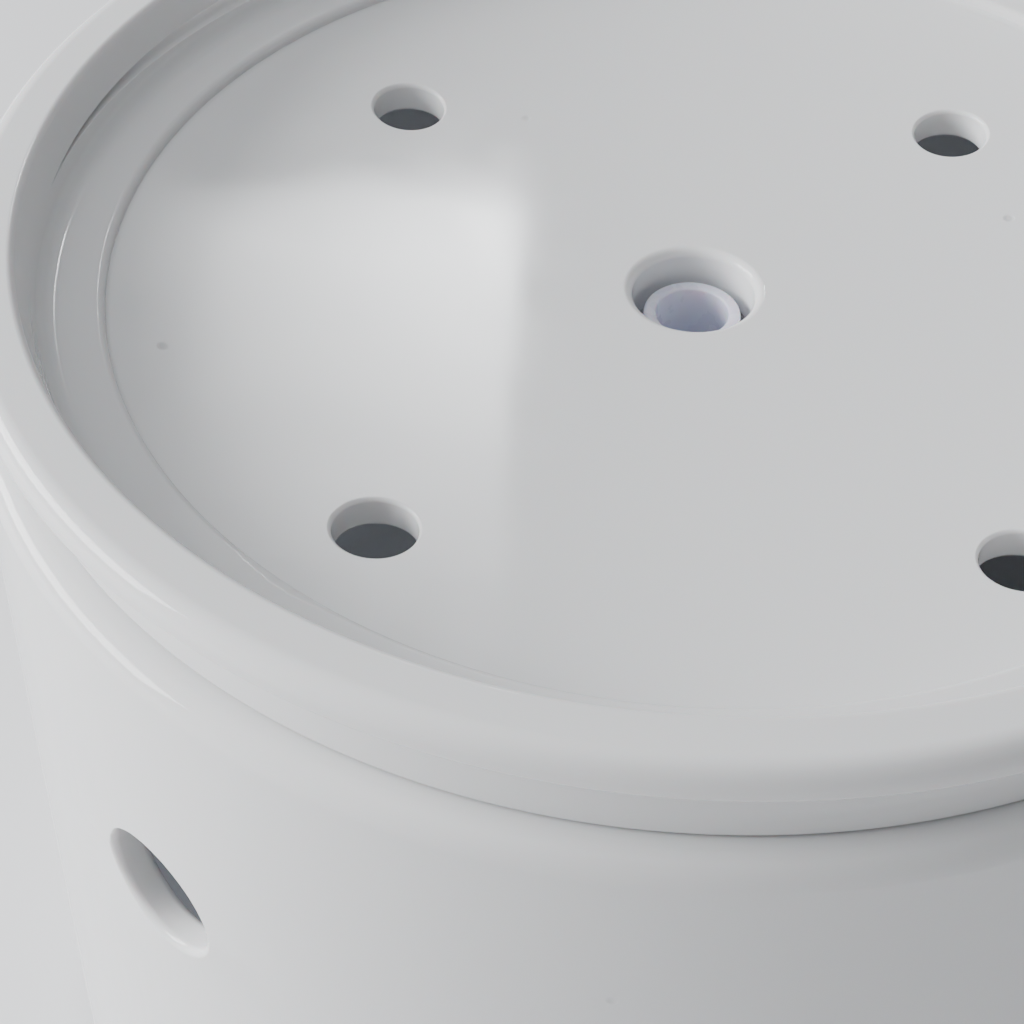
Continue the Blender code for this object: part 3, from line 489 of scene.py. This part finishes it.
cable_punch.data.transform(turn @ raise_up @ Matrix.Rotation(math.pi / 2, 4, "Y"))
carve(vessel, [cable_punch])
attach(vessel, "base")
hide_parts("reservoir")

# ==================================================================== riser hose
# Soft PVC hose pushed over the pump's barb; its cut end stands free in the riser hole.

HOSE_LOW, HOSE_HIGH = (Vector(corner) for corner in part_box("riser_hose"))
HOSE_BORE = 0.0045


def soft_pvc_recipe(wire):
    """Clear soft PVC, milky with plasticiser, its tint a little deeper in random patches."""
    haze = wire.noise(180.0, 2.0)
    tone = wire.blend(haze, (0.66, 0.68, 0.80), (0.72, 0.74, 0.85))
    return {"Base Color": tone, "Roughness": wire.between(wire.noise(300.0), 0.3, 0.7, 0.22, 0.36)}


soft_pvc = finish("soft_pvc", soft_pvc_recipe, IOR=1.52, Subsurface_Weight=0.6,
                  Subsurface_Scale=0.003)
hose_points = outline([
    (HOSE_BORE, (HOSE_LOW.z + HOSE_HIGH.z) / 2),
    (HOSE_BORE, HOSE_HIGH.z, 0.0003),
    (HOSE_HIGH.x, HOSE_HIGH.z, 0.0004),
    (HOSE_HIGH.x, HOSE_LOW.z, 0.0003),
    (HOSE_BORE, HOSE_LOW.z, 0.0003),
    (HOSE_BORE, (HOSE_LOW.z + HOSE_HIGH.z) / 2)], fewest=3)[:-1]
hose = piece("hose", spun_form(hose_points, 96, True), soft_pvc)
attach(hose, "base")
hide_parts("riser_hose")

# ==================================================================== pump
# A small magnet-drive pump in black ABS. Its motor case and intake cover are injection moulded,
# so their corners are rounded, their faces are finely textured and their open ends are square.

MOTOR_LOW, MOTOR_HIGH = (Vector(corner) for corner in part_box("pump_housing"))
COVER_LOW, COVER_HIGH = (Vector(corner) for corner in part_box("intake_cover"))
SEAL_LOW = Vector(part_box("rear_seal")[0])
SHAFT_LOW, SHAFT_HIGH = (Vector(corner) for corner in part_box("rotor_shaft"))
VOLUTE_LOW, VOLUTE_HIGH = (Vector(corner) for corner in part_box("volute_cover"))
AXIS_Z = (SHAFT_LOW.z + SHAFT_HIGH.z) / 2
PUMP_TOP_Z = COVER_HIGH.z
PUMP_BOTTOM_Z = COVER_LOW.z
PUMP_HALF = COVER_HIGH.x
PUMP_WALL = 0.0024
COVER_WALL = 0.0020
PUMP_ROUND = 0.0030
VOLUTE_RADIUS = VOLUTE_HIGH.x
VOLUTE_BORE = VOLUTE_RADIUS - 0.0020
COLLAR_RADIUS_Y = VOLUTE_BORE - 0.0016
COLLAR_BACK_Y = MOTOR_HIGH.y - 0.0030
WELL_BORE = 0.0064
WELL_RADIUS = WELL_BORE + 0.0014
WELL_END_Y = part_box("rear_bush")[0][1] - GAP
along_y = Matrix.Translation((0.0, 0.0, AXIS_Z)) @ Matrix.Rotation(-math.pi / 2, 4, "X")


def black_plastic_recipe(wire):
    """Black ABS with a spark-eroded texture, slightly shinier where it has been handled."""
    grain = wire.noise(1400.0, 2.0, 0.6)
    worn = wire.noise(60.0, 3.0)
    tone = wire.blend(worn, (0.022, 0.023, 0.026), (0.038, 0.039, 0.043))
    rough = wire.between(worn, 0.3, 0.7, 0.34, 0.50)
    return {"Base Color": tone, "Roughness": rough, "Normal": wire.bump(grain, 0.18, 0.00012)}


black_plastic = finish("black_plastic", black_plastic_recipe, IOR=1.52)


def box_form(low, high, rounding=0.0, segments=5):
    """A box between two corners, with all its edges rounded."""
    form = bmesh.new()
    bmesh.ops.create_cube(form, size=1.0)
    low, high = Vector(low), Vector(high)
    bmesh.ops.scale(form, vec=high - low, verts=form.verts)
    bmesh.ops.translate(form, vec=(low + high) / 2, verts=form.verts)
    if rounding:
        bmesh.ops.bevel(form, geom=form.edges[:], offset=rounding, segments=segments, profile=0.5,
                        affect="EDGES", material=-1)
    return form


def rod_form(radius, start, end, turn=None, facets=64):
    """A cylinder between two heights on Z, then turned or moved by a matrix."""
    form = bmesh.new()
    bmesh.ops.create_cone(form, cap_ends=True, segments=facets, radius1=radius, radius2=radius,
                          depth=end - start)
    bmesh.ops.translate(form, vec=(0.0, 0.0, (start + end) / 2), verts=form.verts)
    if turn:
        bmesh.ops.transform(form, matrix=turn, verts=form.verts)
    return form


def join(made, parts, cuts, edge=0.0003, crease=35.0):
    """Fuse the parts onto a piece, cut the tools out of it, then break its sharp edges."""
    for operation, forms in (("UNION", parts), ("DIFFERENCE", cuts)):
        for number, form in enumerate(forms):
            tool = piece("%s_%s_%d" % (made.name, operation.lower(), number), form, None)
            step = made.modifiers.new(tool.name, "BOOLEAN")
            step.operation = operation
            step.object = tool
            step.solver = "EXACT"
    bpy.context.view_layer.update()
    shaped = bpy.data.meshes.new_from_object(
        made.evaluated_get(bpy.context.evaluated_depsgraph_get()))
    tools = [step.object for step in made.modifiers]
    made.modifiers.clear()
    for tool in tools:
        bpy.data.objects.remove(tool, do_unlink=True)
    made.data = shaped
    shaped.shade_smooth()
    shaped.set_sharp_from_angle(angle=math.radians(crease))
    broken = made.modifiers.new("broken edges", "BEVEL")
    broken.width = edge
    broken.segments = 2
    broken.limit_method = "ANGLE"
    broken.angle_limit = math.radians(50)
    broken.harden_normals = True
    return made


def hand_in(made, body, node):
    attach(made, body)
    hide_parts(*([node] if isinstance(node, str) else node))


# motor case: hollow from the back, with a blind well for the rotor, a collar for the seal ring,
# four cup sockets underneath, and moulded grip grooves down both sides
motor_back = MOTOR_LOW.y
motor_front = COLLAR_BACK_Y
housing = piece("motor_case", box_form((-PUMP_HALF, motor_back - PUMP_ROUND, PUMP_BOTTOM_Z),
                                       (PUMP_HALF, motor_front, PUMP_TOP_Z), PUMP_ROUND),
                black_plastic)
cup_places = []
for cup_number in range(1, 5):
    cup_low, cup_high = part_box("suction_cup_%d" % cup_number)
    cup_places.append(((cup_low[0] + cup_high[0]) / 2, (cup_low[1] + cup_high[1]) / 2))
housing_parts = [rod_form(COLLAR_RADIUS_Y, motor_front - GAP, MOTOR_HIGH.y, along_y)]
housing_cuts = [box_form((-1, motor_back - 1, -1), (1, motor_back, 1))]
room = piece("motor_room", box_form((PUMP_WALL - PUMP_HALF, motor_back - PUMP_WALL,
                                     PUMP_BOTTOM_Z + PUMP_WALL),
                                    (PUMP_HALF - PUMP_WALL, motor_front - PUMP_WALL,
                                     PUMP_TOP_Z - PUMP_WALL), 0.0008, 3), None)
join(room, [], [rod_form(WELL_RADIUS, WELL_END_Y - 0.0014, motor_front, along_y)])
room.modifiers.clear()
room_form = bmesh.new()
room_form.from_mesh(room.data)
bpy.data.objects.remove(room, do_unlink=True)
housing_cuts.append(room_form)
housing_cuts.append(rod_form(WELL_BORE, WELL_END_Y, MOTOR_HIGH.y + 0.003, along_y))
for x, y in cup_places:
    at_cup = Matrix.Translation((x, y, 0.0))
    housing_parts.append(rod_form(0.0036, MOTOR_LOW.z, PUMP_BOTTOM_Z + GAP, at_cup, 40))
    housing_cuts.append(rod_form(0.0023, MOTOR_LOW.z - 0.001, PUMP_BOTTOM_Z - GAP, at_cup, 40))
for side in (-1, 1):
    for groove in range(5):
        y = motor_back + 0.0075 + 0.0036 * groove
        inner, outer = sorted((side * (PUMP_HALF - 0.0006), side * (PUMP_HALF + 0.002)))
        housing_cuts.append(box_form((inner, y, PUMP_BOTTOM_Z + 0.008),
                                     (outer, y + 0.0014, PUMP_TOP_Z - 0.008)))
join(housing, housing_parts, housing_cuts)
hand_in(housing, "base", "pump_housing")

# intake cover: a box with a slotted, windowed front and a notch over the hose nozzle
cover_back, cover_front = COVER_LOW.y, COVER_HIGH.y
cover = piece("slotted_cover", box_form((-PUMP_HALF, cover_back - PUMP_ROUND, PUMP_BOTTOM_Z),
                                        (PUMP_HALF, cover_front, PUMP_TOP_Z), PUMP_ROUND),
              black_plastic)
NOTCH_HALF = 0.0056
DIAL_PIN_HOLE = 0.0023
DIAL_WINDOW_RADIUS = 0.0023
DIAL_WINDOW_OFFSET = 0.0056
DIAL_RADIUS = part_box("flow_dial")[1][0]
cover_cuts = [
    box_form((-1, cover_back - 1, -1), (1, cover_back, 1)),
    box_form((COVER_WALL - PUMP_HALF, cover_back - COVER_WALL, PUMP_BOTTOM_Z + COVER_WALL),
             (PUMP_HALF - COVER_WALL, cover_front - COVER_WALL, PUMP_TOP_Z - COVER_WALL),
             0.0006, 2),
    box_form((-NOTCH_HALF, cover_back - COVER_WALL, AXIS_Z),
             (NOTCH_HALF, NOTCH_HALF, PUMP_TOP_Z + COVER_WALL)),
    rod_form(DIAL_PIN_HOLE, cover_front - 2 * COVER_WALL, cover_front + COVER_WALL, along_y, 48)]
for side in (-1, 1):
    beside = Matrix.Translation((side * DIAL_WINDOW_OFFSET, 0.0, 0.0)) @ along_y
    cover_cuts.append(rod_form(DIAL_WINDOW_RADIUS, cover_front - 2 * COVER_WALL,
                               cover_front + COVER_WALL, beside, 48))
    for groove in range(3):
        y = cover_back + 0.0060 + 0.0036 * groove
        inner, outer = sorted((side * (PUMP_HALF - 0.0006), side * (PUMP_HALF + 0.002)))
        cover_cuts.append(box_form((inner, y, PUMP_BOTTOM_Z + 0.008),
                                   (outer, y + 0.0014, PUMP_TOP_Z - 0.008)))
slot_spacing = (2 * PUMP_HALF - 4 * COVER_WALL) / 5
for number in range(5):
    x = slot_spacing * (number - 2)
    slot_low = PUMP_BOTTOM_Z + 2 * COVER_WALL
    slot_high = AXIS_Z - DIAL_RADIUS - 2 * GAP
    cover_cuts.append(box_form((x - 0.0012, cover_front - 2 * COVER_WALL, slot_low),
                               (x + 0.0012, cover_front + COVER_WALL, slot_high)))
join(cover, [], cover_cuts, 0.0004)
hand_in(cover, "intake", "intake_cover")

# impeller chamber: a turned-looking moulding with an eye, a three-legged bearing spider and a
# barbed nozzle that goes up into the hose
inner_front = VOLUTE_LOW.y + 0.0160 - 0.0020
volute_front = VOLUTE_LOW.y + 0.0160
chamber = piece("impeller_chamber", spun_form(outline([
    (VOLUTE_BORE, VOLUTE_LOW.y), (VOLUTE_BORE, inner_front, 0.0008), (0.0068, inner_front),
    (0.0068, volute_front, 0.0005), (VOLUTE_RADIUS, volute_front, 0.0010),
    (VOLUTE_RADIUS, VOLUTE_LOW.y), (VOLUTE_BORE, VOLUTE_LOW.y)])[:-1], 96, True), black_plastic)
chamber.data.transform(along_y)
BUSH_LOW, BUSH_HIGH = (Vector(corner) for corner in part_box("front_bush"))
spider = [rod_form(0.0034, BUSH_LOW.y, BUSH_HIGH.y, along_y, 48)]
for number in range(3):
    arm = box_form((0.0, inner_front + GAP, -0.0006), (0.0078, volute_front - GAP, 0.0006),
                   0.0003, 2)
    bmesh.ops.transform(arm, verts=arm.verts, matrix=Matrix.Translation((0.0, 0.0, AXIS_Z))
                        @ Matrix.Rotation(2 * math.pi * number / 3 + math.pi / 6, 4, "Y"))
    spider.append(arm)
hose_foot = HOSE_LOW.z
barb, root = HOSE_BORE - GAP, HOSE_BORE - GAP - 0.0005
nozzle_line = [(0.0, VOLUTE_HIGH.z), (root - 0.0003, VOLUTE_HIGH.z), (root, VOLUTE_HIGH.z - 0.0003)]
for number in reversed(range(3)):
    level = hose_foot + 0.0035 * (number + 0.5)
    nozzle_line += [(barb - 0.00015, level + 0.0002), (barb, level), (barb - 0.0001, level - 0.0001),
                    (root, level - 0.0001)]
nozzle_line += [(root, hose_foot - GAP), (0.0047, hose_foot - GAP), (0.0050, hose_foot - 2 * GAP),
                (0.0050, AXIS_Z + VOLUTE_BORE + 0.0005), (0.0, AXIS_Z + VOLUTE_BORE + 0.0005)]
join(chamber, spider + [spun_form(nozzle_line, 96, False)],
     [rod_form(0.0024, BUSH_LOW.y - 0.002, BUSH_HIGH.y + 0.002, along_y, 48),
      rod_form(0.0026, AXIS_Z + VOLUTE_BORE - 0.0015, VOLUTE_HIGH.z + 0.005, None, 48)], 0.00015)
hand_in(chamber, "base", "volute_cover")

# ==================================================================== flow dial
# White acetal disc snapped through the cover; its two windows turn over the cover's two.

DIAL_LOW, DIAL_HIGH = (Vector(corner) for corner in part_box("flow_dial"))
DIAL_THICKNESS = 0.0020
DIAL_PIN_RADIUS = 0.0020
DIAL_BARB_RADIUS = 0.0026


def white_plastic_recipe(wire):
    """Natural acetal, faintly yellowed, with fine flow marks."""
    flow = wire.noise(90.0, 3.0)
    return {"Base Color": wire.blend(flow, (0.70, 0.69, 0.66), (0.78, 0.77, 0.75)),
            "Roughness": wire.between(wire.noise(240.0), 0.3, 0.7, 0.28, 0.42)}


white_plastic = finish("white_plastic", white_plastic_recipe, Subsurface_Weight=0.2,
                       Subsurface_Scale=0.001)
dial_back = cover_front + GAP
dial_front = dial_back + DIAL_THICKNESS
pin_head = cover_front - COVER_WALL - GAP
dial = piece("dial", spun_form(outline([
    (0.0, dial_front), (DIAL_RADIUS, dial_front, 0.0005), (DIAL_RADIUS, dial_back, 0.0002),
    (DIAL_PIN_RADIUS, dial_back), (DIAL_PIN_RADIUS, pin_head), (DIAL_BARB_RADIUS, pin_head),
    (DIAL_PIN_RADIUS, DIAL_LOW.y), (0.0, DIAL_LOW.y)]), 96, False), white_plastic)
dial.data.transform(along_y)
grip = box_form((-0.0011, dial_front - GAP, AXIS_Z - 0.0072), (0.0011, DIAL_HIGH.y, AXIS_Z + 0.0072),
                0.0005, 3)
join(dial, [grip], [rod_form(DIAL_WINDOW_RADIUS, dial_back - 0.001, dial_front + 0.001,
                             Matrix.Translation((side * DIAL_WINDOW_OFFSET, 0.0, 0.0)) @ along_y, 48)
                    for side in (-1, 1)], 0.0002)
hand_in(dial, "dial", "flow_dial")

# ==================================================================== rubber pieces
# Moulded nitrile: four suction cups, the cable gland with its bend relief, bushes and seal ring.


def black_rubber_recipe(wire):
    """Soft black rubber with a dusty bloom."""
    bloom = wire.between(wire.noise(45.0, 4.0, 0.6), 0.45, 0.75)
    return {"Base Color": wire.blend(bloom, (0.016, 0.016, 0.017), (0.042, 0.042, 0.044)),
            "Roughness": wire.between(bloom, 0.0, 1.0, 0.50, 0.72),
            "Normal": wire.bump(wire.noise(900.0), 0.12, 0.0001)}


black_rubber = finish("black_rubber", black_rubber_recipe, IOR=1.5)
cup_top = MOTOR_LOW.z + 0.0025 - 2 * GAP
cup_foot = VESSEL_FLOOR_Z + GAP
cup_line = outline([
    (0.0, cup_top), (0.0020, cup_top, 0.0003), (0.0020, cup_foot + 0.0050),
    (0.0030, cup_foot + 0.0050, 0.0002), (0.0030, cup_foot + 0.0036, 0.0006),
    (0.0063, cup_foot + 0.0006, 0.0006), (0.0063, cup_foot), (0.0056, cup_foot),
    (0.0028, cup_foot + 0.0016, 0.002), (0.0, cup_foot + 0.0020)])
for number, (x, y) in enumerate(cup_places, 1):
    cup = piece("cup_%d" % number, spun_form(cup_line, 64, False), black_rubber)
    cup.data.transform(Matrix.Translation((x, y, 0.0)))
    hand_in(cup, "base", "suction_cup_%d" % number)

GLAND_LOW, GLAND_HIGH = (Vector(corner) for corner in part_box("cable_gland"))
gland_z = (GLAND_LOW.z + GLAND_HIGH.z) / 2
flange = SEAL_LOW.y - GAP
relief = []
for number in range(5):
    y = flange - 0.0030 - 0.0014 * number
    thick = 0.0036 - 0.00018 * number
    relief += [(thick, y, 0.00015), (thick, y - 0.0007, 0.00015),
               (thick - 0.0007, y - 0.0007), (thick - 0.0007, y - 0.0014)]
gland_line = outline([
    (0.0019, GLAND_LOW.y), (0.0019, GLAND_HIGH.y), (0.0033, GLAND_HIGH.y), (0.0033, flange),
    (0.0052, flange), (0.0052, flange - 0.0016, 0.0005), (0.0037, flange - 0.0016, 0.0004),
    (0.0037, flange - 0.0026), (0.0029, flange - 0.0026)] + relief
    + [(0.0027, GLAND_LOW.y, 0.0003), (0.0019, GLAND_LOW.y)], fewest=2)[:-1]
gland = piece("gland", spun_form(gland_line, 64, True), black_rubber)
gland.data.transform(Matrix.Translation((0.0, 0.0, gland_z)) @ Matrix.Rotation(-math.pi / 2, 4, "X"))
hand_in(gland, "base", "cable_gland")

# ==================================================================== foot pads
# Self-adhesive silicone dots, milky and slightly dusty underneath.


def clear_silicone_recipe(wire):
    dust = wire.noise(70.0, 4.0, 0.6)
    return {"Base Color": wire.blend(dust, (0.66, 0.66, 0.64), (0.80, 0.80, 0.78)),
            "Roughness": wire.between(dust, 0.3, 0.7, 0.30, 0.46)}


clear_silicone = finish("clear_silicone", clear_silicone_recipe, Subsurface_Weight=0.4,
                        Subsurface_Scale=0.002)
for number in range(1, 5):
    node = "foot_pad_%d" % number
    pad_low, pad_high = (Vector(corner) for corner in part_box(node))
    reach = (pad_high.x - pad_low.x) / 2
    pad = piece("pad_%d" % number, spun_form(outline([
        (0.0, pad_high.z), (reach, pad_high.z, 0.0001), (reach, 0.0, 0.0009), (0.0, 0.0)]),
        64, False), clear_silicone)
    middle = (pad_low + pad_high) / 2
    pad.data.transform(Matrix.Translation((middle.x, middle.y, 0.0)))
    hand_in(pad, "base", node)

# ==================================================================== pieces kept from the CAD
# The motor's inside, the bearings and the wheel keep their modelled shapes and take a finish.

BAND_SCALE = 0.314              # bands one metre apart


def striped(wire, axis, pitch):
    """A height that repeats along an axis of the object, for stacked sheets or wound wire."""
    return wire.node("TexWave", {"wave_type": "BANDS", "bands_direction": axis},
                     Vector=wire.places(), Scale=BAND_SCALE / pitch)


def lamination_recipe(wire):
    sheets = striped(wire, "Y", 0.0005)
    stain = wire.noise(80.0, 3.0)
    return {"Base Color": wire.blend(stain, (0.24, 0.24, 0.26), (0.40, 0.40, 0.42)),
            "Roughness": wire.between(stain, 0.3, 0.7, 0.30, 0.48),
            "Normal": wire.bump(sheets, 0.5, 0.0001)}


def copper_recipe(wire):
    turns = striped(wire, "Z", 0.0004)
    shade = wire.noise(200.0, 2.0)
    return {"Base Color": wire.blend(shade, (0.42, 0.13, 0.04), (0.62, 0.24, 0.08)),
            "Normal": wire.bump(turns, 0.7, 0.00015)}


def resin_recipe(wire):
    pool = wire.noise(110.0, 2.0)
    return {"Base Color": wire.blend(pool, (0.012, 0.012, 0.014), (0.030, 0.030, 0.034)),
            "Roughness": wire.between(pool, 0.3, 0.7, 0.12, 0.26),
            "Normal": wire.bump(pool, 0.25, 0.0006)}


def ferrite_recipe(wire):
    grain = wire.noise(600.0, 3.0)
    return {"Base Color": wire.blend(grain, (0.05, 0.05, 0.055), (0.11, 0.11, 0.115)),
            "Roughness": wire.between(grain, 0.3, 0.7, 0.42, 0.62)}


def pin_recipe(wire):
    grain = wire.noise(500.0, 2.0)
    return {"Base Color": wire.blend(grain, (0.80, 0.79, 0.75), (0.88, 0.87, 0.84)),
            "Roughness": wire.between(grain, 0.3, 0.7, 0.14, 0.24)}


def sponge_recipe(wire):
    cells = wire.node("TexVoronoi", {"feature": "F1"}, Vector=wire.places(), Scale=900.0)
    # the pores are painted darker than the foam as painted shade for their depth, and the same mask
    # dents them in the bump
    pore_depth_and_painted_shade = wire.between(cells, 0.15, 0.55)
    return {"Base Color": wire.blend(pore_depth_and_painted_shade, (0.010, 0.010, 0.011), (0.055, 0.056, 0.060)),
            "Normal": wire.bump(pore_depth_and_painted_shade, 1.0, 0.0006)}


carried = {
    finish("lamination_steel", lamination_recipe, Metallic=1.0): ("stator_core",),
    finish("enamelled_copper", copper_recipe, Metallic=1.0, Roughness=0.3): ("stator_coil",),
    finish("potting_resin", resin_recipe): ("rear_seal",),
    finish("ferrite", ferrite_recipe): ("rotor_magnet",),
    finish("ceramic_pin", pin_recipe): ("rotor_shaft",),
    finish("filter_sponge", sponge_recipe, Roughness=0.95): ("filter_sponge",),
    white_plastic: ("impeller",),
    black_rubber: ("rear_bush", "front_bush", "volute_seal"),
}
for material, nodes in carried.items():
    for node in nodes:
        kept = bpy.data.objects[node]
        kept.data.materials.clear()
        kept.data.materials.append(material)
